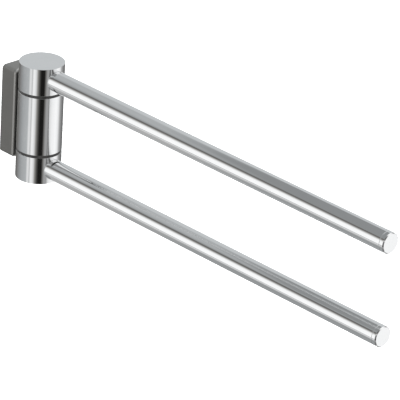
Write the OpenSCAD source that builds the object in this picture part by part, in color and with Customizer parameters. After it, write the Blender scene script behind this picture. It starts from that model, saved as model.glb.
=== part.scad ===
// Two-armed swivelling towel rail: a wall block carries a fixed barrel, and a hub
// with a straight arm turns on the barrel's axle above it and below it.
// Millimetres. +Z is up, the wall is the plane Y = 0 and the arms point to -Y.
// The origin is the middle of the two wall screws, on the wall.

/* [Arms] */
// Distance from the wall to the tip of an arm
projection = 450; // [250:5:600]
// Outer diameter of an arm tube
arm_d = 18; // [15:0.5:21]
// Wall thickness of an arm tube
arm_wall = 1.2; // [0.8:0.1:2]
// Distance from a hub's outer end face to its arm's centre line
arm_inset = 12.2; // [11:0.1:15]
// Length of an end cap outside its tube
cap_len = 4.5; // [3:0.5:12]
// Length of an end cap's spigot inside its tube
cap_spigot = 12; // [6:1:20]
// Bevel round the tip of an end cap
cap_bevel = 0.9; // [0.2:0.1:1.5]

/* [Post] */
// Outer diameter of the barrel and the hubs
post_d = 39.5; // [38:0.5:50]
// Height of a hub, up to the middle of its seam
hub_h = 25.5; // [25:0.5:34]
// Height from the middle of one seam to the middle of the other
barrel_h = 55.5; // [46:0.5:80]
// Height of the dark seam between a hub and the barrel
seam_h = 2.4; // [0.6:0.1:2.5]
// Small bevel on the edges at a seam
seam_bevel = 0.25; // [0.1:0.05:0.4]
// How far a friction washer stays inside the barrel's surface
washer_setback = 0.4; // [0.3:0.1:2]
// Diameter of the axle
axle_d = 12; // [10:0.5:14]
// Length of the axle inside a hub
axle_in_hub = 20; // [19:0.5:21]
// Wall thickness of a bush
bush_wall = 1.45; // [1:0.05:2]
// Length of a bush
bush_len = 11; // [8:0.5:12]

/* [Wall block] */
// Width of the wall block
block_w = 26; // [24:0.5:32]
// Height of the wall block
block_h = 81.6; // [78:0.2:100]
// Thickness of the block between its pocket and its hollow front
saddle_wall = 5.75; // [4.5:0.25:10]
// Width of the flat rim on each side of the hollow front
rim_w = 1.5; // [1.5:0.1:3]
// Gap between the block's hollow front and the barrel
post_gap = 2; // [0.6:0.1:3]
// Radius of the block's four corners, seen from the front
block_corner = 3.5; // [3:0.1:6]
// Rounding of the edges round the block's front
block_round = 2.5; // [0.5:0.1:2.8]
// Thickness of the block's side walls
block_side_wall = 4; // [3:0.5:5]
// Depth of the pocket in the block's back
pocket_depth = 8.5; // [8:0.1:9]

/* [Wall bracket] */
// Thickness of the bracket plate
plate_t = 3; // [2:0.5:3]
// Height of the bracket plate
plate_h = 66; // [62:1:66]
// Distance between the two wall screw holes
screw_spacing = 54; // [50:1:56]
// Diameter of a wall screw hole
wall_hole_d = 5; // [4:0.5:6]

/* [Screws] */
// Thread diameter of every machine and grub screw
thread_d = 5; // [4:0.5:5]
// Head diameter of a barrel screw
head_d = 8.5; // [8:0.1:9]
// Head height of a barrel screw
head_h = 4; // [3:0.1:4.2]
// Distance between the two barrel screws
barrel_screw_spacing = 30; // [26:1:34]
// Hexagon socket across its corners
hex_d = 2.9; // [2:0.1:3]
// Diameter of a retaining screw's dog point
dog_d = 3; // [2.5:0.1:3.2]

/* [Fits] */
// Radial clearance of an axle in its bush
running_gap = 0.05; // [0.02:0.01:0.1]
// Play between pieces that only pass each other
loose_gap = 0.3; // [0.3:0.05:0.5]
// Axial play between a hub and its friction washer
axial_gap = 0.1; // [0.05:0.01:0.2]
// How much smaller in radius a tube's root is turned to seat in its hub
root_step = 0.2; // [0.2:0.05:0.4]

/* [Hidden] */
$fn = 96;
// Overshoot of a cutting solid
cut = 1;

post_r = post_d / 2;
arm_r = arm_d / 2;
tube_bore_r = arm_r - arm_wall;
thread_r = thread_d / 2;
axle_r = axle_d / 2;
bush_r = axle_r + running_gap + bush_wall;

// The post stands off the wall by what the wall block puts between them.
recess_r = post_r + post_gap;
axis_to_wall = pocket_depth + saddle_wall + recess_r;
recess_half_w = block_w / 2 - rim_w;
block_depth = axis_to_wall - sqrt(pow(recess_r, 2) - pow(recess_half_w, 2));

// Heights are measured up from the post's middle; the lower hub mirrors the upper one.
seam_z = barrel_h / 2;
barrel_top = seam_z - seam_h / 2;
hub_bottom = seam_z + seam_h / 2;
hub_top = seam_z + hub_h;
arm_z = hub_top - arm_inset;
washer_t = seam_h - axial_gap;

// Along an arm, distances are measured out from the axle's centre line.
arm_reach = projection - axis_to_wall;
tube_end = arm_reach - cap_len;
seat_wall = 3;
seat_floor = bush_r + seat_wall;
root_r = arm_r - root_step;
root_end = post_r + 0.5;
plug_len = 24;
set_screw_at = seat_floor + thread_r + 2;
set_screw_end_gap = 0.3;

// The retaining screw's dog point runs in a ring groove near the axle's end.
axle_bore_r = axle_r + loose_gap;
axle_end_gap = 1;
groove_w = dog_d + 2 * loose_gap;
groove_depth = 1.5;
groove_r = axle_r - groove_depth;
groove_z = seam_z + axle_in_hub - groove_w / 2 - 1.6;
axle_bevel = 0.8;
// Depth of the dimple that the axle's lock screw bites in
lock_dimple = 0.6;
screw_sink = 0.6;
hex_depth = 2.2;

// Wall block and what holds the barrel to it.
pocket_w = block_w - 2 * block_side_wall;
pocket_play = 0.8;
pocket_h = plate_h + 2 * pocket_play;
boss_d = 10;
boss_gap = 0.1;
boss_floor = 2.8;
boss_end_y = -pocket_depth - boss_floor - boss_gap;
washer_h = 1;
washer_d = head_d + 1;
screw_len_in_boss = 9;
thread_depth = 11;

// Wall bracket: a plate with a finger that the block hangs on and a ledge that it is clamped to.
plate_w = pocket_w - 2;
finger_w = 10;
finger_t = 2;
finger_rise = 2;
ledge_t = 3.5;
ledge_depth = pocket_depth - 1.3;
clamp_y = -(plate_t + ledge_depth) / 2;
slot_play = 0.3;

// A solid cylinder along -Y from distance a to distance b from the axle, at height z.
module along_arm(r, a, b, z = arm_z) {
    translate([0, -axis_to_wall - a, z])
        rotate([90, 0, 0])
            cylinder(r = r, h = b - a);
}

// A solid cylinder along +Y, behind the axle, at height z.
module behind_axle(r, a, b, z) {
    translate([0, -axis_to_wall + b, z])
        rotate([90, 0, 0])
            cylinder(r = r, h = b - a);
}

// A hexagon socket cut along +Y into a screw whose end face is at distance b behind the axle.
module hex_behind_axle(b, z) {
    translate([0, -axis_to_wall + b + cut, z])
        rotate([90, 0, 0])
            cylinder(d = hex_d, h = hex_depth + cut, $fn = 6);
}

// A turned disc or barrel on the axle with bevelled rims.
module turned(r, z0, z1, bevel0, bevel1) {
    translate([0, -axis_to_wall, 0])
        rotate_extrude()
            polygon([[0, z0], [r - bevel0, z0], [r, z0 + bevel0],
                     [r, z1 - bevel1], [r - bevel1, z1], [0, z1]]);
}

module on_axle(r, z0, z1) {
    translate([0, -axis_to_wall, z0]) cylinder(r = r, h = z1 - z0);
}

// Steel plate on the wall, hidden in the block's pocket
module wall_bracket() {
    color("lightgray") difference() {
        union() {
            translate([-plate_w / 2, -plate_t, -plate_h / 2])
                cube([plate_w, plate_t, plate_h]);
            translate([-plate_w / 2, -ledge_depth, -plate_h / 2])
                cube([plate_w, ledge_depth, ledge_t]);
            translate([-finger_w / 2, -ledge_depth, plate_h / 2 - ledge_t])
                cube([finger_w, ledge_depth, ledge_t]);
            translate([-finger_w / 2, -ledge_depth, plate_h / 2 - ledge_t])
                cube([finger_w, finger_t, ledge_t + pocket_play + finger_rise]);
        }
        for (side = [-1, 1])
            translate([0, cut, side * screw_spacing / 2])
                rotate([90, 0, 0])
                    cylinder(d = wall_hole_d, h = plate_t + 2 * cut);
    }
}

// Chromed block with rounded edges, an open pocket at the back and a hollow front
module wall_block() {
    color("silver") difference() {
        rotate([90, 0, 0]) rounded_block();
        // hollow front, along the post
        translate([0, -axis_to_wall, -block_h / 2 - cut])
            cylinder(r = recess_r, h = block_h + 2 * cut);
        // pocket for the bracket
        translate([-pocket_w / 2, -pocket_depth, -pocket_h / 2])
            cube([pocket_w, pocket_depth + cut, pocket_h]);
        // slot for the bracket's finger
        translate([-finger_w / 2 - slot_play, -ledge_depth - slot_play, pocket_h / 2 - cut])
            cube([finger_w + 2 * slot_play, finger_t + 2 * slot_play,
                  finger_rise + slot_play + cut]);
        // clamp screw from below
        translate([0, clamp_y, -block_h / 2 - cut])
            cylinder(r = thread_r, h = (block_h - pocket_h) / 2 + 2 * cut);
        // seats of the barrel's bosses, and their screws
        for (side = [-1, 1]) {
            translate([0, -pocket_depth - boss_floor, side * barrel_screw_spacing / 2])
                rotate([90, 0, 0]) cylinder(d = boss_d + 2 * boss_gap, h = block_depth);
            translate([0, cut, side * barrel_screw_spacing / 2])
                rotate([90, 0, 0])
                    cylinder(r = thread_r + loose_gap, h = block_depth);
        }
    }
}

// The block before it is hollowed: its outline has round corners and its front edges are rounded
module rounded_block() {
    straight = block_depth - block_round;
    slice = 0.01;
    steps = 5;
    linear_extrude(height = straight) block_outline(0);
    hull()
        for (step = [0:steps]) {
            angle = 90 * step / steps;
            translate([0, 0, straight + block_round * sin(angle) - slice])
                linear_extrude(height = slice)
                    block_outline(block_round * (1 - cos(angle)));
        }
}

module block_outline(inset) {
    w = block_w / 2 - inset;
    h = block_h / 2 - inset;
    r = block_corner - inset;
    hull()
        for (sx = [-1, 1], sy = [-1, 1])
            translate([sx * (w - r), sy * (h - r)]) circle(r = r, $fn = 32);
}

// Grub screw that pulls the block down on the bracket
module block_clamp_screw() {
    z0 = -block_h / 2 + screw_sink;
    z1 = -plate_h / 2;
    color("dimgray") difference() {
        translate([0, clamp_y, z0]) cylinder(r = thread_r, h = z1 - z0);
        translate([0, clamp_y, z0 - cut])
            cylinder(d = hex_d, h = hex_depth + cut, $fn = 6);
    }
}

// Fixed barrel between the two hubs, with two bosses into the wall block
module middle_barrel() {
    color("silver") difference() {
        union() {
            turned(post_r, -barrel_top, barrel_top, seam_bevel, seam_bevel);
            for (side = [-1, 1])
                behind_axle(boss_d / 2, bush_r, axis_to_wall + boss_end_y,
                            side * barrel_screw_spacing / 2);
        }
        on_axle(axle_r, -barrel_top - cut, barrel_top + cut);
        for (side = [-1, 1])
            behind_axle(thread_r, axis_to_wall + boss_end_y - thread_depth,
                        axis_to_wall + boss_end_y + cut, side * barrel_screw_spacing / 2);
        behind_axle(thread_r, 0, post_r + cut, 0);
    }
}

// Two screws from the block's pocket into the barrel's bosses
module barrel_screws() {
    under_head = -pocket_depth + washer_h;
    color("dimgray")
        for (side = [-1, 1])
            translate([0, 0, side * barrel_screw_spacing / 2])
                difference() {
                    rotate([90, 0, 0]) {
                        translate([0, 0, -under_head])
                            cylinder(r = thread_r,
                                     h = under_head - boss_end_y + screw_len_in_boss);
                        translate([0, 0, -under_head - head_h])
                            cylinder(d = head_d, h = head_h);
                    }
                    translate([0, under_head + head_h + cut, 0]) rotate([90, 0, 0])
                        cylinder(d = hex_d, h = hex_depth + cut, $fn = 6);
                }
}

// Washers under the heads of the barrel screws
module barrel_screw_washers() {
    color("gray")
        for (side = [-1, 1])
            translate([0, -pocket_depth + washer_h, side * barrel_screw_spacing / 2])
                rotate([90, 0, 0]) difference() {
                    cylinder(d = washer_d, h = washer_h);
                    translate([0, 0, -cut])
                        cylinder(r = thread_r + loose_gap, h = washer_h + 2 * cut);
                }
}

// Steel axle through all three barrels, with a ring groove near each end
module axle() {
    end_z = seam_z + axle_in_hub;
    color("lightgray") difference() {
        turned(axle_r, -end_z, end_z, axle_bevel, axle_bevel);
        for (side = [-1, 1])
            translate([0, -axis_to_wall, side * groove_z - groove_w / 2])
                difference() {
                    cylinder(r = axle_r + cut, h = groove_w);
                    translate([0, 0, -cut]) cylinder(r = groove_r, h = groove_w + 2 * cut);
                }
        behind_axle(thread_r, axle_r - lock_dimple, axle_r + cut, 0);
    }
}

// Grub screw through the barrel's back that locks the axle
module axle_lock_screw() {
    outer = post_r - screw_sink;
    color("dimgray") difference() {
        behind_axle(thread_r, axle_r - lock_dimple, outer, 0);
        hex_behind_axle(outer, 0);
    }
}

// Dark washer that gives the swivel its drag
module friction_washer() {
    color("#262626") difference() {
        on_axle(post_r - washer_setback, barrel_top, barrel_top + washer_t);
        on_axle(axle_r + loose_gap, barrel_top - cut, barrel_top + washer_t + cut);
    }
}

// Closed cup that turns on the axle and holds an arm
module hub() {
    color("silver") difference() {
        turned(post_r, hub_bottom, hub_top, seam_bevel, seam_bevel);
        on_axle(axle_bore_r, hub_bottom - cut, seam_z + axle_in_hub + axle_end_gap);
        on_axle(bush_r, hub_bottom - cut, hub_bottom + bush_len);
        along_arm(root_r, seat_floor, post_r + cut);
        behind_axle(thread_r, 0, post_r + cut, groove_z);
        translate([0, -axis_to_wall - set_screw_at, hub_bottom - cut])
            cylinder(r = thread_r, h = arm_z - hub_bottom);
    }
}

// Plastic sleeve pressed into a hub
module bush() {
    color("white") difference() {
        on_axle(bush_r, hub_bottom, hub_bottom + bush_len);
        on_axle(axle_r + running_gap, hub_bottom - cut, hub_bottom + bush_len + cut);
    }
}

// Dog-point screw in a hub's back: its point runs in the axle's groove
module retaining_screw() {
    outer = post_r - screw_sink;
    shoulder = axle_bore_r + 1;
    color("dimgray") difference() {
        union() {
            behind_axle(thread_r, shoulder, outer, groove_z);
            behind_axle(dog_d / 2, groove_r + loose_gap, shoulder + cut, groove_z);
        }
        hex_behind_axle(outer, groove_z);
    }
}

// Straight chromed tube, its root turned down a little and let into the hub
module arm_tube() {
    color("silver") difference() {
        translate([0, -axis_to_wall - seat_floor, arm_z])
            rotate([90, 0, 0])
                rotate_extrude()
                    polygon([[tube_bore_r, 0], [root_r, 0],
                             [root_r, root_end - seat_floor], [arm_r, root_end - seat_floor],
                             [arm_r, tube_end - seat_floor - seam_bevel],
                             [arm_r - seam_bevel, tube_end - seat_floor],
                             [tube_bore_r, tube_end - seat_floor]]);
        translate([0, -axis_to_wall - set_screw_at, arm_z - arm_r - cut])
            cylinder(r = thread_r, h = arm_r + cut);
    }
}

// Solid plug fixed in the tube's root, threaded for the set screw
module arm_plug() {
    color("goldenrod") difference() {
        along_arm(tube_bore_r, seat_floor, seat_floor + plug_len);
        translate([0, -axis_to_wall - set_screw_at, arm_z - arm_r])
            cylinder(r = thread_r, h = arm_r);
    }
}

// Grub screw from the hub's seam face into the arm's plug
module arm_set_screw() {
    z0 = hub_bottom + set_screw_end_gap;
    z1 = arm_z - set_screw_end_gap;
    color("dimgray") difference() {
        translate([0, -axis_to_wall - set_screw_at, z0]) cylinder(r = thread_r, h = z1 - z0);
        translate([0, -axis_to_wall - set_screw_at, z0 - cut])
            cylinder(d = hex_d, h = hex_depth + cut, $fn = 6);
    }
}

// Bevelled cap with a hollow spigot pushed into the tube
module end_cap() {
    spigot_wall = 1.5;
    color("gainsboro")
        translate([0, -axis_to_wall - tube_end, arm_z])
            rotate([90, 0, 0])
                rotate_extrude()
                    polygon([[0, cap_len], [arm_r - cap_bevel, cap_len],
                             [arm_r, cap_len - cap_bevel], [arm_r, seam_bevel],
                             [arm_r - seam_bevel, 0], [tube_bore_r, 0],
                             [tube_bore_r, -cap_spigot],
                             [tube_bore_r - spigot_wall, -cap_spigot],
                             [tube_bore_r - spigot_wall, cap_len / 2], [0, cap_len / 2]]);
}

// The lower arm's pieces are the upper arm's, turned over
module turned_over() {
    mirror([0, 0, 1]) children();
}

wall_bracket();
wall_block();
block_clamp_screw();
middle_barrel();
barrel_screws();
barrel_screw_washers();
axle();
axle_lock_screw();
friction_washer();  // upper_friction_washer
turned_over() friction_washer();  // lower_friction_washer
hub();  // upper_hub
bush();  // upper_bush
retaining_screw();  // upper_retaining_screw
arm_tube();  // upper_arm_tube
arm_plug();  // upper_arm_plug
arm_set_screw();  // upper_arm_set_screw
end_cap();  // upper_end_cap
turned_over() hub();  // lower_hub
turned_over() bush();  // lower_bush
turned_over() retaining_screw();  // lower_retaining_screw
turned_over() arm_tube();  // lower_arm_tube
turned_over() arm_plug();  // lower_arm_plug
turned_over() arm_set_screw();  // lower_arm_set_screw
turned_over() end_cap();  // lower_end_cap
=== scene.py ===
# A two-armed swivelling towel rail in polished chrome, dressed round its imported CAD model.
# Metres, +Z up. The wall is the plane Y = 0, and the arms point to -Y at rest.
import math

import bpy
from mathutils import Matrix, Vector
from mathutils.kdtree import KDTree


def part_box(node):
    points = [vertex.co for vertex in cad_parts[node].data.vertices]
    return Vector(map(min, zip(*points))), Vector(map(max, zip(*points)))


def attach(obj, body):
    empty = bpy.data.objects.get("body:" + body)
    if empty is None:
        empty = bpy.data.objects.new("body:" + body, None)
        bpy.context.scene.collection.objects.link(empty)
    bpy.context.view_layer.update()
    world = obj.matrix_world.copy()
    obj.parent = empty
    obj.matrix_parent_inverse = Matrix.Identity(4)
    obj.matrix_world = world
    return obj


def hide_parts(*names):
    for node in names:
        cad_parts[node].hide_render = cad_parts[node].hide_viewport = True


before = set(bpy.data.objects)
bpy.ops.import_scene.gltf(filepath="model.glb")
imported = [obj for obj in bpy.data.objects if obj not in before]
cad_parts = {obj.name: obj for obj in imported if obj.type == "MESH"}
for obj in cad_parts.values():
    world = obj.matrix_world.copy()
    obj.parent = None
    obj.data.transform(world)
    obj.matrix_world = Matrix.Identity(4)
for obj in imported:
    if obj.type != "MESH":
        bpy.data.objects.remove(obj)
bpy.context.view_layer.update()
scene = bpy.context.scene
scene.view_settings.view_transform = "Standard"

# ---------------------------------------------------------------------------------------
# The camera: a long lens on the rail's left and above it, a little over three metres away,
# turned a few degrees about its own line of sight.
barrel_low, barrel_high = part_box("middle_barrel")
post_radius = barrel_high.x
post_axis = Vector((0, barrel_low.y + post_radius, 0))

CAMERA_AZIMUTH = math.radians(-44.78)
CAMERA_ELEVATION = math.radians(25.03)
CAMERA_ROLL = math.radians(3.345)
CAMERA_DISTANCE = 3.206  # from the post's middle, along the line of sight
RIGHT_OF_POST = 0.1370
BELOW_POST = 0.0700
LENS_PER_SENSOR_WIDTH = 9.3596

towards_camera = Vector((
    math.sin(CAMERA_AZIMUTH) * math.cos(CAMERA_ELEVATION),
    -math.cos(CAMERA_AZIMUTH) * math.cos(CAMERA_ELEVATION),
    math.sin(CAMERA_ELEVATION),
))
level_right = Vector((math.cos(CAMERA_AZIMUTH), math.sin(CAMERA_AZIMUTH), 0))
level_up = towards_camera.cross(level_right)
view_right = math.cos(CAMERA_ROLL) * level_right + math.sin(CAMERA_ROLL) * level_up
view_up = math.cos(CAMERA_ROLL) * level_up - math.sin(CAMERA_ROLL) * level_right

lens = bpy.data.cameras.new("camera")
lens.sensor_width = 36  # millimetres, as Blender counts lenses
lens.lens = LENS_PER_SENSOR_WIDTH * lens.sensor_width
lens.clip_end = 200
camera = bpy.data.objects.new("camera", lens)
camera_place = (post_axis + CAMERA_DISTANCE * towards_camera
                + RIGHT_OF_POST * view_right - BELOW_POST * view_up)
camera.matrix_world = Matrix.Translation(camera_place) @ Matrix(
    (view_right, view_up, towards_camera)).transposed().to_4x4()
scene.collection.objects.link(camera)
scene.camera = camera


# ---------------------------------------------------------------------------------------
# The studio: a white tent with grey panels and bright soft boxes round the rail, which only
# polished metal sees, over a plain pale floor far below that a broad soft lamp lights.
class Wire:
    """One output of a shader node. Sums and products of wires add the Math nodes for them."""

    def __init__(self, tree, socket=None):
        self.tree = tree
        self.socket = socket

    def node(self, kind, settings=None, inputs=None):
        """Adds a node, makes its settings, then gives its inputs their values or wires."""
        made = self.tree.nodes.new(kind)
        for name, value in (settings or {}).items():
            if name == "stops":
                ramp = made.color_ramp
                while len(ramp.elements) < len(value):
                    ramp.elements.new(1)
                for stop, (place, colour) in zip(ramp.elements, value):
                    stop.position = place
                    stop.color = colour
            else:
                setattr(made, name, value)
        for key, value in (inputs or {}).items():
            socket = made.inputs[key] if isinstance(key, int) else next(
                s for s in made.inputs if s.enabled and s.name == key)
            if isinstance(value, Wire):
                self.tree.links.new(value.socket, socket)
            else:
                socket.default_value = value
        shown = [s for s in made.outputs if s.enabled]
        return Wire(self.tree, shown[0] if shown else None)

    def __getitem__(self, name):
        return Wire(self.tree, self.socket.node.outputs[name])

    def maths(self, operation, *values):
        return self.node("ShaderNodeMath", {"operation": operation}, dict(enumerate(values)))

    def __add__(self, other):
        return self.maths("ADD", self, other)

    def __sub__(self, other):
        return self.maths("SUBTRACT", self, other)

    def __rsub__(self, other):
        return self.maths("SUBTRACT", other, self)

    def __mul__(self, other):
        return self.maths("MULTIPLY", self, other)

    __radd__ = __add__
    __rmul__ = __mul__

    def rise(self, low, high):
        """0 up to low, 1 from high on, and a smooth rise between them."""
        return self.node("ShaderNodeMapRange", {"interpolation_type": "SMOOTHSTEP"},
                         {"Value": self, "From Min": low, "From Max": high})

    def blend(self, first, second):
        """The first colour where this wire is 0, and the second where it is 1."""
        return self.node("ShaderNodeMix", {"data_type": "RGBA"},
                         {"Factor": self, "A": first, "B": second})


CHROME_SHARE = 0.80  # of the light that falls on chrome, what it sends back
WARM = (1.03, 1.00, 0.95)
COOL = (0.975, 1.005, 1.02)
PLAIN = (1.0, 1.0, 1.0)


def panel(tone, tint=PLAIN):
    """The light of a panel that polished chrome shows as this screen grey, 0 to 255."""
    share = tone / 255
    light = (share / 12.92 if share <= 0.04045 else ((share + 0.055) / 1.055) ** 2.4)
    return tuple(light / CHROME_SHARE * part for part in tint) + (1.0,)


world = bpy.data.worlds.new("studio")
scene.world = world
world.use_nodes = True
world.node_tree.nodes.clear()
tent = Wire(world.node_tree)
axes = tent.node("ShaderNodeSeparateXYZ", inputs={
    "Vector": tent.node("ShaderNodeTexCoord")["Generated"]})
bearing = tent.maths("ARCTAN2", axes["Y"], axes["X"])
height = axes["Z"]

# Panels in a ring just below the rail: bearing in degrees from +X towards +Y, and grey.
RING = [
    (0, 126, PLAIN), (12, 106, PLAIN), (45, 108, PLAIN), (82, 98, WARM), (104, 127, PLAIN),
    (123, 148, COOL), (136, 161, COOL), (149, 167, COOL), (165, 174, COOL), (170, 219, PLAIN),
    (176, 214, PLAIN), (180, 186, PLAIN), (184, 190, PLAIN), (188, 235, PLAIN),
    (195, 234, PLAIN), (203, 212, PLAIN), (211, 135, WARM), (220, 71, WARM), (228, 26, WARM),
    (244, 26, WARM), (250, 101, WARM), (258, 153, PLAIN), (270, 153, PLAIN),
    (279, 221, PLAIN), (291, 237, PLAIN), (314, 247, PLAIN), (329, 232, PLAIN),
    (346, 152, PLAIN),
]
ring = tent.node("ShaderNodeValToRGB", {"stops": sorted(
    ((bearing_degrees / 360 + 0.5) % 1, panel(tone, tint))
    for bearing_degrees, tone, tint in RING)}, {"Fac": bearing * (1 / math.tau) + 0.5})

# From the floor to the top of the tent: sine of the elevation, and grey.
LEVELS = [
    (-1.0, 95, PLAIN), (-0.89, 100, PLAIN), (-0.81, 158, PLAIN), (-0.75, 168, PLAIN),
    (-0.66, 171, PLAIN), (-0.56, 180, PLAIN), (-0.43, 240, PLAIN), (-0.27, 249, PLAIN),
    (0.10, 247, PLAIN), (0.22, 224, PLAIN), (0.36, 138, WARM), (0.48, 85, WARM),
    (0.59, 152, COOL), (0.68, 169, COOL), (0.74, 173, COOL), (1.0, 180, COOL),
]
levels = tent.node("ShaderNodeValToRGB", {"stops": [
    ((sine + 1) / 2, panel(tone, tint)) for sine, tone, tint in LEVELS]},
    {"Fac": height * 0.5 + 0.5})

# A broad light-grey panel stands on the right, behind the rail; flat tops mirror it.
RIGHT_PANEL_BEARING = math.radians(48)
RIGHT_PANEL_GREY = 192
right_panel = (tent.maths("COSINE", bearing - RIGHT_PANEL_BEARING).rise(0.6, 0.85)
               * height.rise(-0.25, -0.1) * (1 - height.rise(0.60, 0.72)))
all_round = right_panel.blend(levels, panel(RIGHT_PANEL_GREY, COOL))

# Behind the rail the ring is a narrow band. In front its panels stand from floor to roof,
# and a backdrop in soft grey stripes hangs before the darkest of them, past the band.
BACKDROP_BEARING = math.radians(237)
BACKDROP = [
    (-1.0, 105, PLAIN), (-0.80, 112, PLAIN), (-0.66, 148, PLAIN), (-0.52, 136, PLAIN),
    (-0.30, 108, PLAIN), (0.06, 112, PLAIN), (0.14, 140, PLAIN), (0.20, 200, PLAIN),
    (0.26, 200, PLAIN), (0.33, 116, PLAIN), (0.50, 90, WARM), (0.62, 112, PLAIN),
    (0.78, 160, PLAIN),
]
narrow_band = height.rise(-0.45, -0.43) * (1 - height.rise(-0.385, -0.365))
before_rail = (1 - axes["Y"].rise(-0.25, -0.05)) * (1 - height.rise(0.78, 0.90))
in_ring = tent.maths("MAXIMUM", narrow_band, before_rail)
past_band = 1 - height.rise(-0.56, -0.47) * (1 - height.rise(-0.37, -0.28))
backdrop = (tent.maths("COSINE", bearing - BACKDROP_BEARING).rise(0.78, 0.93)
            * before_rail * past_band)
stripes = tent.node("ShaderNodeValToRGB", {"stops": [
    ((sine + 1) / 2, panel(tone, tint)) for sine, tone, tint in BACKDROP]},
    {"Fac": height * 0.5 + 0.5})
# The camera itself sees plain white past the rail.
seen_in_metal = backdrop.blend(in_ring.blend(all_round, ring), stripes)
shown = tent.node("ShaderNodeMixShader", inputs={
    0: tent.node("ShaderNodeLightPath")["Is Camera Ray"],
    1: tent.node("ShaderNodeBackground", inputs={"Color": seen_in_metal}),
    2: tent.node("ShaderNodeBackground", inputs={"Color": (1, 1, 1, 1)}),
})
tent.node("ShaderNodeOutputWorld", inputs={"Surface": shown})

FLOOR_HEIGHT = -5.0
FLOOR_HALF_SIZE = 60.0
FLOOR_GREY = (0.93, 0.93, 0.93, 1)
FLOOR_ROUGHNESS = 0.9
floor_mesh = bpy.data.meshes.new("floor")
floor_mesh.from_pydata(
    [(x * FLOOR_HALF_SIZE, y * FLOOR_HALF_SIZE, FLOOR_HEIGHT)
     for x, y in ((-1, -1), (1, -1), (1, 1), (-1, 1))], [], [(0, 1, 2, 3)])
floor = bpy.data.objects.new("floor", floor_mesh)
floor_paint = bpy.data.materials.new("floor_paint")
floor_paint.use_nodes = True
floor_shader = floor_paint.node_tree.nodes["Principled BSDF"]
floor_shader.inputs["Base Color"].default_value = FLOOR_GREY
floor_shader.inputs["Roughness"].default_value = FLOOR_ROUGHNESS
floor_mesh.materials.append(floor_paint)
floor.visible_glossy = False
scene.collection.objects.link(floor)

LAMP_STRENGTH = 5.0
LAMP_SPREAD = math.radians(60)
LAMP_TILT = (math.radians(20), math.radians(-25), 0)
lamp_light = bpy.data.lights.new("soft_lamp", "SUN")
lamp_light.energy = LAMP_STRENGTH
lamp_light.angle = LAMP_SPREAD
lamp = bpy.data.objects.new("soft_lamp", lamp_light)
lamp.rotation_euler = LAMP_TILT
lamp.visible_glossy = False
scene.collection.objects.link(lamp)

# Two soft-edged grey cards lie level over and under the arms; only the arms' outer halves
# mirror them. Each has its height, its grey, its back edge and how far that edge fades.
CARD_HALF_WIDTH = 0.35
CARD_FRONT = -0.30
CARDS = [("upper_card", 0.40, 138, 0.15, 0.15), ("lower_card", -0.40, 148, 0.25, 0.22)]
for card_name, card_height, card_tone, card_back, card_fade in CARDS:
    card_mesh = bpy.data.meshes.new(card_name)
    card_mesh.from_pydata(
        [(x, y, card_height) for x, y in (
            (-CARD_HALF_WIDTH, CARD_FRONT), (CARD_HALF_WIDTH, CARD_FRONT),
            (CARD_HALF_WIDTH, card_back), (-CARD_HALF_WIDTH, card_back))], [], [(0, 1, 2, 3)])
    card = bpy.data.objects.new(card_name, card_mesh)
    card_paint = bpy.data.materials.new(card_name)
    card_paint.use_nodes = True
    card_paint.node_tree.nodes.clear()
    card_start = Wire(card_paint.node_tree)
    card_place = card_start.node("ShaderNodeSeparateXYZ", inputs={
        "Vector": card_start.node("ShaderNodeTexCoord")["Object"]})
    card_start.node("ShaderNodeOutputMaterial", inputs={
        "Surface": card_start.node("ShaderNodeMixShader", inputs={
            0: card_place["Y"].rise(card_back - card_fade, card_back),
            1: card_start.node("ShaderNodeEmission", inputs={"Color": panel(card_tone, COOL)}),
            2: card_start.node("ShaderNodeBsdfTransparent")})})
    card_mesh.materials.append(card_paint)
    card.visible_camera = False
    card.visible_diffuse = False
    card.visible_shadow = False
    card.visible_transmission = False
    scene.collection.objects.link(card)


# ---------------------------------------------------------------------------------------
# The middle barrel: a solid turned from brass, polished and chromed, which the wall block
# holds by two bosses at its back. The axle goes through it from end to end.
MM = 0.001
ARC_STEP = math.radians(13)  # the most that one facet of a rounded edge turns
ON_AXIS = 1e-7  # closer to the axis than this, a ring is a single point
SHARP = 1e-6  # the rounding of a cutting tool's rim, too small to see
SAME_PLACE = 1e-6  # two points closer than this are one
ON_SURFACE = 5e-6  # as near as this, a point lies on a round surface
SAME_WAY = 0.9  # cosine: a normal further off its face's own belongs to another face


def rounded_profile(corners, closed):
    """Points and outward normals along a profile, each corner rounded by its own radius."""
    line = []
    for number, (radius, along, rounding) in enumerate(corners):
        here = Vector((radius, along))
        before = Vector(corners[number - 1][:2])
        after = Vector(corners[(number + 1) % len(corners)][:2])
        if not closed and number in (0, len(corners) - 1):
            step = (after - here if number == 0 else here - before).normalized()
            line.append((here, Vector((-step.y, step.x))))
            continue
        arriving = (here - before).normalized()
        leaving = (after - here).normalized()
        cross = arriving.x * leaving.y - arriving.y * leaving.x
        turn = math.atan2(cross, arriving.dot(leaving))
        side = 1 if turn < 0 else -1
        first_normal = Vector((-arriving.y, arriving.x))
        centre = (here - rounding * math.tan(abs(turn) / 2) * arriving
                  - side * rounding * first_normal)
        steps = max(2, math.ceil(abs(turn) / ARC_STEP))
        for step in range(steps + 1):
            angle = turn * step / steps
            normal = Vector((
                first_normal.x * math.cos(angle) - first_normal.y * math.sin(angle),
                first_normal.x * math.sin(angle) + first_normal.y * math.cos(angle)))
            line.append((centre + side * rounding * normal, normal))
    return line


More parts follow.
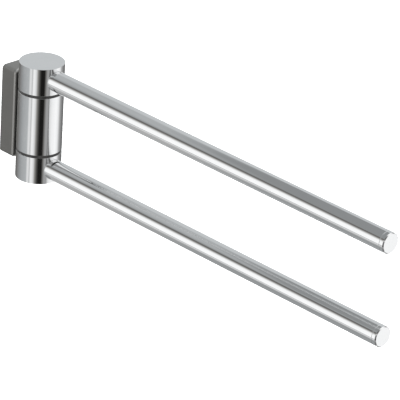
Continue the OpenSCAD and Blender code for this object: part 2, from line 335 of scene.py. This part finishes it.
def turned(name, corners, foot, direction, slices=144, closed=False):
    """A piece turned on a lathe: its corners are (radius, distance along the axis, rounding),
    in order down its outside. Its shading normals are those of the true round surface."""
    to_axis = Vector(direction).to_track_quat("Z", "Y").to_matrix()
    points, normals, rings = [], [], []
    for (radius, along), (out, up) in rounded_profile(corners, closed):
        ring_start = len(points)
        for turn in range(slices if radius > ON_AXIS else 1):
            angle = math.tau * turn / slices
            spoke = Vector((math.cos(angle), math.sin(angle), 0))
            points.append(Vector(foot) + to_axis @ (spoke * radius + Vector((0, 0, along))))
            normals.append(to_axis @ (spoke * out + Vector((0, 0, up))))
        rings.append(range(ring_start, len(points)))
    faces = []
    for upper, lower in zip(rings, rings[1:] + rings[:1] if closed else rings[1:]):
        for turn in range(slices):
            corners_round = [upper[turn % len(upper)], lower[turn % len(lower)],
                             lower[(turn + 1) % slices % len(lower)],
                             upper[(turn + 1) % slices % len(upper)]]
            faces.append(list(dict.fromkeys(corners_round)))
    mesh = bpy.data.meshes.new(name)
    mesh.from_pydata(points, [], faces)
    mesh.shade_smooth()
    mesh.normals_split_custom_set_from_vertices([n.normalized() for n in normals])
    piece = bpy.data.objects.new(name, mesh)
    scene.collection.objects.link(piece)
    return piece, normals


def carve(piece, normals, round_tools, box_tools=(), bosses=(), own_cylinders=()):
    """Cuts round and square holes in a piece and joins round bosses to it. Each face corner
    then takes, from the true surfaces that meet there, the normal nearest its face's own.
    Round tools and bosses are (radius, start, end); a box tool is its two corners."""
    known = KDTree(len(normals))
    for number, vertex in enumerate(piece.data.vertices):
        known.insert(vertex.co, number)
    known.balance()
    tools = []
    for operation, group in (("UNION", bosses), ("DIFFERENCE", round_tools)):
        for radius, start, end in group:
            span = Vector(end) - Vector(start)
            tool, _ = turned("tool", [
                (0, span.length, 0), (radius, span.length, SHARP),
                (radius, 0, SHARP), (0, 0, 0),
            ], start, span, slices=144 if radius > 10 * MM else 48)
            tools.append((operation, tool))
    for low, high in box_tools:
        mesh = bpy.data.meshes.new("tool")
        mesh.from_pydata(
            [(x, y, z) for x in (low[0], high[0]) for y in (low[1], high[1])
             for z in (low[2], high[2])], [],
            [(0, 1, 3, 2), (4, 6, 7, 5), (0, 4, 5, 1), (2, 3, 7, 6), (0, 2, 6, 4), (1, 5, 7, 3)])
        tool = bpy.data.objects.new("tool", mesh)
        scene.collection.objects.link(tool)
        tools.append(("DIFFERENCE", tool))
    for operation, tool in tools:
        step = piece.modifiers.new(operation, "BOOLEAN")
        step.operation = operation
        step.solver = "EXACT"
        step.object = tool
    ready = piece.evaluated_get(bpy.context.evaluated_depsgraph_get())
    carved = bpy.data.meshes.new_from_object(ready)
    piece.modifiers.clear()
    for _, tool in tools:
        bpy.data.objects.remove(tool)
    rounds = [(radius, Vector(start), (Vector(end) - Vector(start)).normalized())
              for radius, start, end in (*round_tools, *bosses, *own_cylinders)]
    chosen = []
    for polygon in carved.polygons:
        flat = polygon.normal
        for corner in polygon.loop_indices:
            place = carved.vertices[carved.loops[corner].vertex_index].co
            _, number, gap = known.find(place)
            choices = [normals[number]] if gap < SAME_PLACE else []
            for radius, start, along in rounds:
                spoke = place - start - along * (place - start).dot(along)
                if abs(spoke.length - radius) < ON_SURFACE:
                    choices += [spoke.normalized(), -spoke.normalized()]
            best = max(choices, key=flat.dot, default=flat)
            chosen.append(best if best.dot(flat) > SAME_WAY else flat)
    carved.shade_smooth()
    carved.normals_split_custom_set(chosen)
    piece.data = carved
    return piece


def new_finish(name):
    """An empty metal finish: its node tree's wire, and a function that puts a shader on it."""
    material = bpy.data.materials.new(name)
    material.use_nodes = True
    material.node_tree.nodes.clear()
    start = Wire(material.node_tree)

    def coat(**inputs):
        named = {key.replace("_", " "): value for key, value in inputs.items()}
        shader = start.node("ShaderNodeBsdfPrincipled", inputs=named)
        start.node("ShaderNodeOutputMaterial", inputs={"Surface": shader})
        return material
    return start, coat


CHROME_SHADES = [(0.79, 0.80, 0.805, 1), (0.81, 0.815, 0.82, 1)]


def polished_chrome():
    """Mirror chrome plate: faint clouds left by the polishing wheel, a few hairline scratches
    and the slightest waviness."""
    start, coat = new_finish("polished_chrome")
    place = start.node("ShaderNodeTexCoord")["Object"]
    clouds = start.node("ShaderNodeTexNoise", inputs={
        "Vector": place, "Scale": 55.0, "Detail": 3.0, "Roughness": 0.6})
    stretched = start.node("ShaderNodeMapping", inputs={
        "Vector": place, "Rotation": (0.3, 0.2, 0.9), "Scale": (900.0, 60.0, 500.0)})
    hairlines = start.node("ShaderNodeTexNoise", inputs={
        "Vector": stretched, "Scale": 1.0, "Detail": 2.0})
    scratches = hairlines.rise(0.66, 0.72)
    waviness = start.node("ShaderNodeTexNoise", inputs={
        "Vector": place, "Scale": 90.0, "Detail": 1.0})
    bump = start.node("ShaderNodeBump", inputs={
        "Strength": 0.06, "Distance": 0.00005, "Height": waviness + scratches * -0.5})
    colour = clouds.rise(0.3, 0.7).blend(*CHROME_SHADES)
    return coat(Base_Color=colour, Metallic=1.0,
                Roughness=0.045 + clouds.rise(0.35, 0.7) * 0.03 + scratches * 0.05,
                Normal=bump)


def finish_piece(piece, material, body, slot, *nodes):
    """Gives a piece its finish and its body, and the CAD nodes it stands for. The slot is not
    used.
    """
    piece.data.materials.clear()
    piece.data.materials.append(material)
    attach(piece, body)
    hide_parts(*nodes)


chrome = polished_chrome()
EDGE_ROUNDING = 0.15 * MM
_, axle_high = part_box("axle")
axle_radius = axle_high.x
BOSS_RADIUS = 5.0 * MM
BOSS_SPREAD = 30.0 * MM
BOSS_ROOT = 2.0 * MM  # where a boss starts, outside the axle's bore
SCREW_RADIUS = 2.5 * MM
THREAD_DEPTH = 11.0 * MM
barrel_top = barrel_high.z
barrel, barrel_normals = turned("barrel_shell", [
    (axle_radius, -barrel_top, EDGE_ROUNDING), (axle_radius, barrel_top, EDGE_ROUNDING),
    (post_radius, barrel_top, EDGE_ROUNDING), (post_radius, -barrel_top, EDGE_ROUNDING),
], post_axis, (0, 0, 1), closed=True)
boss_end = barrel_high.y
boss_heights = [side * BOSS_SPREAD / 2 for side in (-1, 1)]
carve(barrel, barrel_normals,
      round_tools=[(SCREW_RADIUS, (0, boss_end - THREAD_DEPTH, z), (0, boss_end + MM, z))
                   for z in boss_heights]
      + [(SCREW_RADIUS, post_axis, (0, post_axis.y + post_radius + MM, 0))],
      bosses=[(BOSS_RADIUS, (0, post_axis.y + axle_radius + BOSS_ROOT, z), (0, boss_end, z))
              for z in boss_heights],
      own_cylinders=[(post_radius, post_axis, post_axis + Vector((0, 0, 1)))])
finish_piece(barrel, chrome, "wall_side", "chrome", "middle_barrel")

# ---------------------------------------------------------------------------------------
# The hubs: chromed cups above and below the barrel, alike but for the lower one's being
# turned over. They run on the axle, and each has a bored seat for its arm in front and a
# small retaining screw in its back.
_, bush_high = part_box("upper_bush")
tube_low, tube_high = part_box("upper_arm_tube")
arm_radius = tube_high.x
arm_height = (tube_low.z + tube_high.z) / 2
screw_low, screw_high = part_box("upper_retaining_screw")
screw_height = (screw_low.z + screw_high.z) / 2
AXLE_PLAY = 0.3 * MM
AXLE_END_GAP = 1.0 * MM
ROOT_STEP = 0.2 * MM
BORE_ROUNDING = 0.05 * MM
for side, which in ((1, "upper"), (-1, "lower")):
    low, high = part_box("upper_hub")
    hub, hub_normals = turned(f"{which}_hub_shell", [
        (0, high.z, 0), (post_radius, high.z, EDGE_ROUNDING),
        (post_radius, low.z, EDGE_ROUNDING), (bush_high.x, low.z, EDGE_ROUNDING),
        (bush_high.x, bush_high.z, BORE_ROUNDING),
        (axle_radius + AXLE_PLAY, bush_high.z, BORE_ROUNDING),
        (axle_radius + AXLE_PLAY, axle_high.z + AXLE_END_GAP, BORE_ROUNDING),
        (0, axle_high.z + AXLE_END_GAP, 0),
    ], post_axis, (0, 0, side))
    seat = Vector((0, tube_high.y, side * arm_height))
    back = Vector((0, post_axis.y, side * screw_height))
    carve(hub, hub_normals, round_tools=[
        (arm_radius - ROOT_STEP, seat, (0, post_axis.y - post_radius - MM, side * arm_height)),
        (SCREW_RADIUS, back, back + Vector((0, post_radius + MM, 0))),
    ], own_cylinders=[(post_radius, post_axis, post_axis + Vector((0, 0, 1)))])
    finish_piece(hub, chrome, f"{which}_arm", "chrome", f"{which}_hub")

# ---------------------------------------------------------------------------------------
# The arms: long straight chromed tubes. Each root is turned down a little and sits in its
# hub, and the open end takes the cap.
TUBE_WALL = 1.2 * MM
TUBE_EDGE = 0.1 * MM
SEAM_ROUNDING = 0.45 * MM
SHOULDER_EDGE = 0.06 * MM
SHOULDER_FILLET = 0.04 * MM
root_end = post_radius + 0.5 * MM
for side, which in ((1, "upper"), (-1, "lower")):
    foot = Vector((0, post_axis.y, side * arm_height))
    start_along = foot.y - tube_high.y
    end_along = foot.y - tube_low.y
    bore = arm_radius - TUBE_WALL
    root = arm_radius - ROOT_STEP
    tube, _ = turned(f"{which}_tube_shell", [
        (bore, start_along, TUBE_EDGE), (bore, end_along, TUBE_EDGE),
        (arm_radius, end_along, SEAM_ROUNDING), (arm_radius, root_end, SHOULDER_EDGE),
        (root, root_end, SHOULDER_FILLET), (root, start_along, TUBE_EDGE),
    ], foot, (0, -1, 0), slices=120, closed=True)
    finish_piece(tube, chrome, f"{which}_arm", "chrome", f"{which}_arm_tube")

# ---------------------------------------------------------------------------------------
# The end caps: chromed discs with a bevelled rim, each pushed into its tube on a hollow
# spigot. A fine seam shows where the cap meets the tube.
cap_low, cap_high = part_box("upper_end_cap")
CAP_BEVEL = 0.9 * MM
BEVEL_TIP_EDGE = 0.3 * MM
BEVEL_RIM_EDGE = 0.2 * MM
SPIGOT_WALL = 1.5 * MM
for side, which in ((1, "upper"), (-1, "lower")):
    foot = Vector((0, post_axis.y, side * arm_height))
    seam = foot.y - tube_low.y
    tip = foot.y - cap_low.y
    spigot_end = foot.y - cap_high.y
    bore = arm_radius - TUBE_WALL
    cap, _ = turned(f"{which}_cap_shell", [
        (0, tip, 0), (arm_radius - CAP_BEVEL, tip, BEVEL_TIP_EDGE),
        (arm_radius, tip - CAP_BEVEL, BEVEL_RIM_EDGE), (arm_radius, seam, SEAM_ROUNDING),
        (bore, seam, TUBE_EDGE), (bore, spigot_end, TUBE_EDGE),
        (bore - SPIGOT_WALL, spigot_end, TUBE_EDGE),
        (bore - SPIGOT_WALL, (seam + tip) / 2, TUBE_EDGE), (0, (seam + tip) / 2, 0),
    ], foot, (0, -1, 0), slices=120)
    finish_piece(cap, chrome, f"{which}_arm", "chrome", f"{which}_end_cap")

# ---------------------------------------------------------------------------------------
# The wall block: a narrow cast block in a darker satin plate, with painted highlights on its
# edges and painted shade in its front. Its front is hollowed round the post, and a pocket
# in its back hides the bracket that it hangs on.
block_low, block_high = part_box("wall_block")
block_half_width = block_high.x
block_half_height = block_high.z
block_depth = -block_low.y
CORNER_ROUNDING = 3.5 * MM
FRONT_ROUNDING = 2.5 * MM
HOLLOW_RADIUS = post_radius + 2.0 * MM
POCKET_DEPTH = 8.5 * MM
POCKET_SIDE_PLAY = 1.0 * MM
POCKET_END_PLAY = 0.8 * MM
bracket_low, bracket_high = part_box("wall_bracket")
pocket_half_width = bracket_high.x + POCKET_SIDE_PLAY
pocket_half_height = -bracket_low.z + POCKET_END_PLAY
# The slot above the pocket, for the bracket's finger.
FINGER_HALF_WIDTH = 5.3 * MM
FINGER_BACK = 4.9 * MM
FINGER_FRONT = 7.5 * MM
FINGER_TOP = 2.3 * MM
BOSS_PLAY = 0.1 * MM
SCREW_PLAY = 0.3 * MM
THROUGH = 2 * MM  # how far a cut runs on past the block, so that it leaves no skin
FRONT_STEPS = 7
CORNER_STEPS = 8

# The outside, as rings of its outline: one at the wall, then those of the rounded front,
# each with its depth, how far it is drawn in, and how far its normals tip forward.
points, normals, rings = [], [], []
sections = [(0.0, 0.0, 0.0)]
for step in range(FRONT_STEPS + 1):
    angle = math.radians(90) * step / FRONT_STEPS
    sections.append((block_depth - FRONT_ROUNDING * (1 - math.sin(angle)),
                     FRONT_ROUNDING * (1 - math.cos(angle)), angle))
for depth, inset, tilt in sections:
    ring_start = len(points)
    for quarter in range(4):
        for step in range(CORNER_STEPS + 1):
            angle = math.radians(90) * (quarter + step / CORNER_STEPS)
            spoke = Vector((math.cos(angle), 0, math.sin(angle)))
            corner_x = math.copysign(block_half_width - CORNER_ROUNDING,
                                     math.cos(math.radians(90 * quarter + 45)))
            corner_z = math.copysign(block_half_height - CORNER_ROUNDING,
                                     math.sin(math.radians(90 * quarter + 45)))
            points.append(Vector((corner_x, -depth, corner_z))
                          + spoke * (CORNER_ROUNDING - inset))
            normals.append(spoke * math.cos(tilt) + Vector((0, -1, 0)) * math.sin(tilt))
    rings.append(range(ring_start, len(points)))
around = len(rings[0])
faces = [list(rings[0]), list(reversed(rings[-1]))]
for back, front in zip(rings, rings[1:]):
    for step in range(around):
        faces.append([back[step], front[step], front[(step + 1) % around],
                      back[(step + 1) % around]])
block_mesh = bpy.data.meshes.new("wall_block_shell")
block_mesh.from_pydata(points, [], [face[::-1] for face in faces])
block = bpy.data.objects.new("wall_block_shell", block_mesh)
scene.collection.objects.link(block)
clamp_low, clamp_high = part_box("block_clamp_screw")
clamp_depth = (clamp_low.y + clamp_high.y) / 2
carve(block, normals, round_tools=[
    (HOLLOW_RADIUS, post_axis - Vector((0, 0, block_half_height + THROUGH)),
     post_axis + Vector((0, 0, block_half_height + THROUGH))),
    (SCREW_RADIUS, (0, clamp_depth, -block_half_height - THROUGH),
     (0, clamp_depth, -pocket_half_height + THROUGH)),
    *((BOSS_RADIUS + BOSS_PLAY, (0, boss_end + BOSS_PLAY, z), (0, -block_depth - THROUGH, z))
      for z in boss_heights),
    *((SCREW_RADIUS + SCREW_PLAY, (0, THROUGH, z), (0, -block_depth - THROUGH, z))
      for z in boss_heights),
], box_tools=[
    ((-pocket_half_width, -POCKET_DEPTH, -pocket_half_height),
     (pocket_half_width, THROUGH, pocket_half_height)),
    ((-FINGER_HALF_WIDTH, -FINGER_FRONT, pocket_half_height - THROUGH),
     (FINGER_HALF_WIDTH, -FINGER_BACK, pocket_half_height + FINGER_TOP)),
])

PLATE_SHADES = [(0.175, 0.173, 0.165, 1), (0.205, 0.202, 0.193, 1)]
# Painted highlight: a paler plate colour for the block's ends and front edges.
PAINTED_HIGHLIGHT_PLATE = (0.44, 0.435, 0.42, 1)
# Painted highlight: a near-white plate colour where the end faces meet the curve round the post.
RIM_HIGHLIGHT_PLATE = (0.92, 0.91, 0.88, 1)
# Painted shade: a dark plate colour inside the curve round the post.
HOLLOW_SHADE_PLATE = (0.17, 0.165, 0.157, 1)


def satin_plate():
    """Dark satin plate on a casting: fine grain from the blasting, painted highlights in paler
    plate colours on the ends, the front edges and round the post, and painted shade inside the
    front's curve, which is also rougher."""
    start, coat = new_finish("satin_plate")
    place = start.node("ShaderNodeTexCoord")["Object"]
    across = start.node("ShaderNodeSeparateXYZ", inputs={"Vector": place})
    clouds = start.node("ShaderNodeTexNoise", inputs={
        "Vector": place, "Scale": 40.0, "Detail": 4.0})
    grain = start.node("ShaderNodeTexNoise", inputs={
        "Vector": place, "Scale": 2600.0, "Detail": 2.0})
    bump = start.node("ShaderNodeBump", inputs={
        "Strength": 0.12, "Distance": 0.00004, "Height": grain})
    plate = clouds.rise(0.3, 0.7).blend(*PLATE_SHADES)
    ragged = clouds * 0.3 * MM
    # on_ends and on_front mark where the painted highlights go, with ragged edges.
    on_ends = (start.maths("ABSOLUTE", across["Z"]) + ragged).rise(
        block_half_height - 2.6 * MM, block_half_height - 0.6 * MM)
    on_front = (ragged - across["Y"]).rise(block_depth - 2.4 * MM, block_depth - 1.5 * MM)
    # Painted highlight: the paler plate colour on the ends and the front edges.
    painted_highlight = start.maths("MAXIMUM", on_ends * 0.9, on_front)
    from_post = start.maths("SQRT", across["X"] * across["X"]
                            + (across["Y"] - post_axis.y) * (across["Y"] - post_axis.y))
    # Painted shade: the dark plate colour inside the curve round the post, which is also
    # rougher.
    shaded_hollow = ((1 - from_post.rise(HOLLOW_RADIUS + 0.7 * MM, HOLLOW_RADIUS + 1.2 * MM))
              * (1 - on_ends))
    # Painted highlight: the near-white plate colour along the ends' edge round the post.
    rim_highlight = on_ends * (1 - from_post.rise(HOLLOW_RADIUS + 0.8 * MM, HOLLOW_RADIUS + 1.8 * MM))
    highlighted = rim_highlight.blend(painted_highlight.blend(plate, PAINTED_HIGHLIGHT_PLATE), RIM_HIGHLIGHT_PLATE)
    colour = shaded_hollow.blend(highlighted, HOLLOW_SHADE_PLATE)
    return coat(Base_Color=colour, Metallic=1.0,
                Roughness=0.50 + clouds.rise(0.3, 0.7) * 0.06 + grain * 0.04 + shaded_hollow * 0.2,
                Normal=bump)


finish_piece(block, satin_plate(), "wall_side", "block_metal", "wall_block")


# ---------------------------------------------------------------------------------------
# The friction washers: thin dark moulded rings between the barrel and the hubs. Their
# edges are the dark lines at the two seams.
def moulded(name, dark, light, roughness, grain_scale):
    """Moulded plastic: a soft mottle, and the fine texture of the mould."""
    start, coat = new_finish(name)
    place = start.node("ShaderNodeTexCoord")["Object"]
    mottle = start.node("ShaderNodeTexNoise", inputs={
        "Vector": place, "Scale": 220.0, "Detail": 3.0})
    texture = start.node("ShaderNodeTexNoise", inputs={
        "Vector": place, "Scale": grain_scale, "Detail": 2.0})
    bump = start.node("ShaderNodeBump", inputs={
        "Strength": 0.25, "Distance": 0.00003, "Height": texture})
    return coat(Base_Color=mottle.rise(0.3, 0.7).blend(dark, light),
                Roughness=roughness + mottle * 0.12, Normal=bump)


def dress(node, material):
    """Gives a CAD node that shows as it is a finish of its own."""
    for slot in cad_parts[node].material_slots:
        slot.material = material


washer_plastic = moulded("washer_plastic", (0.012, 0.012, 0.012, 1), (0.03, 0.029, 0.028, 1),
                         0.45, 3000.0)
for which in ("upper", "lower"):
    dress(f"{which}_friction_washer", washer_plastic)


# ---------------------------------------------------------------------------------------
# The steel that holds the rail together: the pressed bracket on the wall, the screws and
# their washers, and the turned axle. Most of it shows only from behind, without the wall.
def worked_steel(name, dark, light, roughness, line_scale, line_depth):
    """Machined or plated steel: mottled plating, with fine tool lines along one way."""
    start, coat = new_finish(name)
    place = start.node("ShaderNodeTexCoord")["Object"]
    mottle = start.node("ShaderNodeTexNoise", inputs={
        "Vector": place, "Scale": 160.0, "Detail": 4.0, "Roughness": 0.65})
    stretched = start.node("ShaderNodeMapping", inputs={
        "Vector": place, "Scale": line_scale})
    lines = start.node("ShaderNodeTexNoise", inputs={
        "Vector": stretched, "Scale": 1.0, "Detail": 2.0})
    bump = start.node("ShaderNodeBump", inputs={
        "Strength": 0.2, "Distance": line_depth, "Height": lines})
    return coat(Base_Color=mottle.rise(0.35, 0.65).blend(dark, light), Metallic=1.0,
                Roughness=roughness + mottle * 0.15 + lines * 0.05, Normal=bump)


zinc_plate = worked_steel("zinc_plate", (0.55, 0.55, 0.53, 1), (0.68, 0.68, 0.66, 1), 0.28,
                          (2500.0, 400.0, 120.0), 0.00004)
black_steel = worked_steel("black_steel", (0.07, 0.07, 0.072, 1), (0.13, 0.13, 0.132, 1), 0.32,
                           (900.0, 900.0, 2500.0), 0.00003)
turned_steel = worked_steel("turned_steel", (0.58, 0.58, 0.58, 1), (0.68, 0.68, 0.68, 1), 0.18,
                            (300.0, 300.0, 5000.0), 0.00004)
dress("wall_bracket", zinc_plate)
dress("barrel_screw_washers", zinc_plate)
dress("axle", turned_steel)
for node in ("block_clamp_screw", "barrel_screws", "axle_lock_screw",
             "upper_retaining_screw", "lower_retaining_screw",
             "upper_arm_set_screw", "lower_arm_set_screw"):
    dress(node, black_steel)

# ---------------------------------------------------------------------------------------
# Inside the hubs: a natural nylon bush that runs on the axle, and the brass plug in the
# tube's root that the set screw bites into.
bush_nylon = moulded("bush_nylon", (0.72, 0.70, 0.65, 1), (0.80, 0.79, 0.74, 1), 0.4, 2200.0)
plug_brass = worked_steel("turned_brass", (0.62, 0.44, 0.19, 1), (0.76, 0.57, 0.27, 1), 0.22,
                          (300.0, 5000.0, 300.0), 0.00004)
for which in ("upper", "lower"):
    dress(f"{which}_bush", bush_nylon)
    dress(f"{which}_arm_plug", plug_brass)
